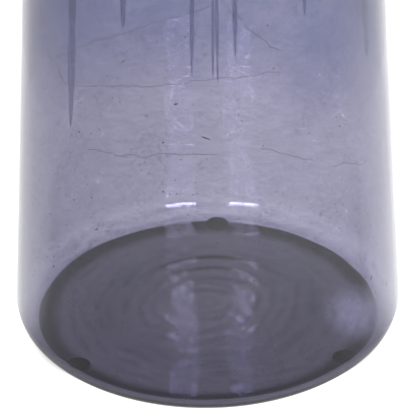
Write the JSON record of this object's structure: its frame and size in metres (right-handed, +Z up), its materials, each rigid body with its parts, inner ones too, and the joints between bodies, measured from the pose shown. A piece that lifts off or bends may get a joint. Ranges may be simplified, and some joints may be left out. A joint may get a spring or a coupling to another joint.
{
  "type": "glass cylinder vase",
  "caption": "Tall open glass flower vase with a slightly tapering wall, a rounded heel, a punted base, a tinted coat inside its upper part and small rubber feet.",
  "frame": {"origin": "on the vase's axis, in the plane of the undersides of the three rubber feet that it stands on", "axes": "+Z up along the vase's axis, towards the mouth; +Y towards the side with the back foot; +X to the right of someone who looks along +Y"},
  "size_m": [0.1799, 0.18, 0.3],
  "materials": {
    "smoke_glass": "hand-blown smoke-grey glass, fire-polished, with seeds and specks",
    "blue_lacquer": "thin transparent blue-violet lacquer with runs at its lower edge",
    "bumper_rubber": "matt dark rubber"
  },
  "bodies": {
    "root": {"vase_body": "smoke_glass", "tint_coat": "blue_lacquer", "foot_bumper_back": "bumper_rubber", "foot_bumper_left": "bumper_rubber", "foot_bumper_right": "bumper_rubber"}
  },
  "joints": []
}
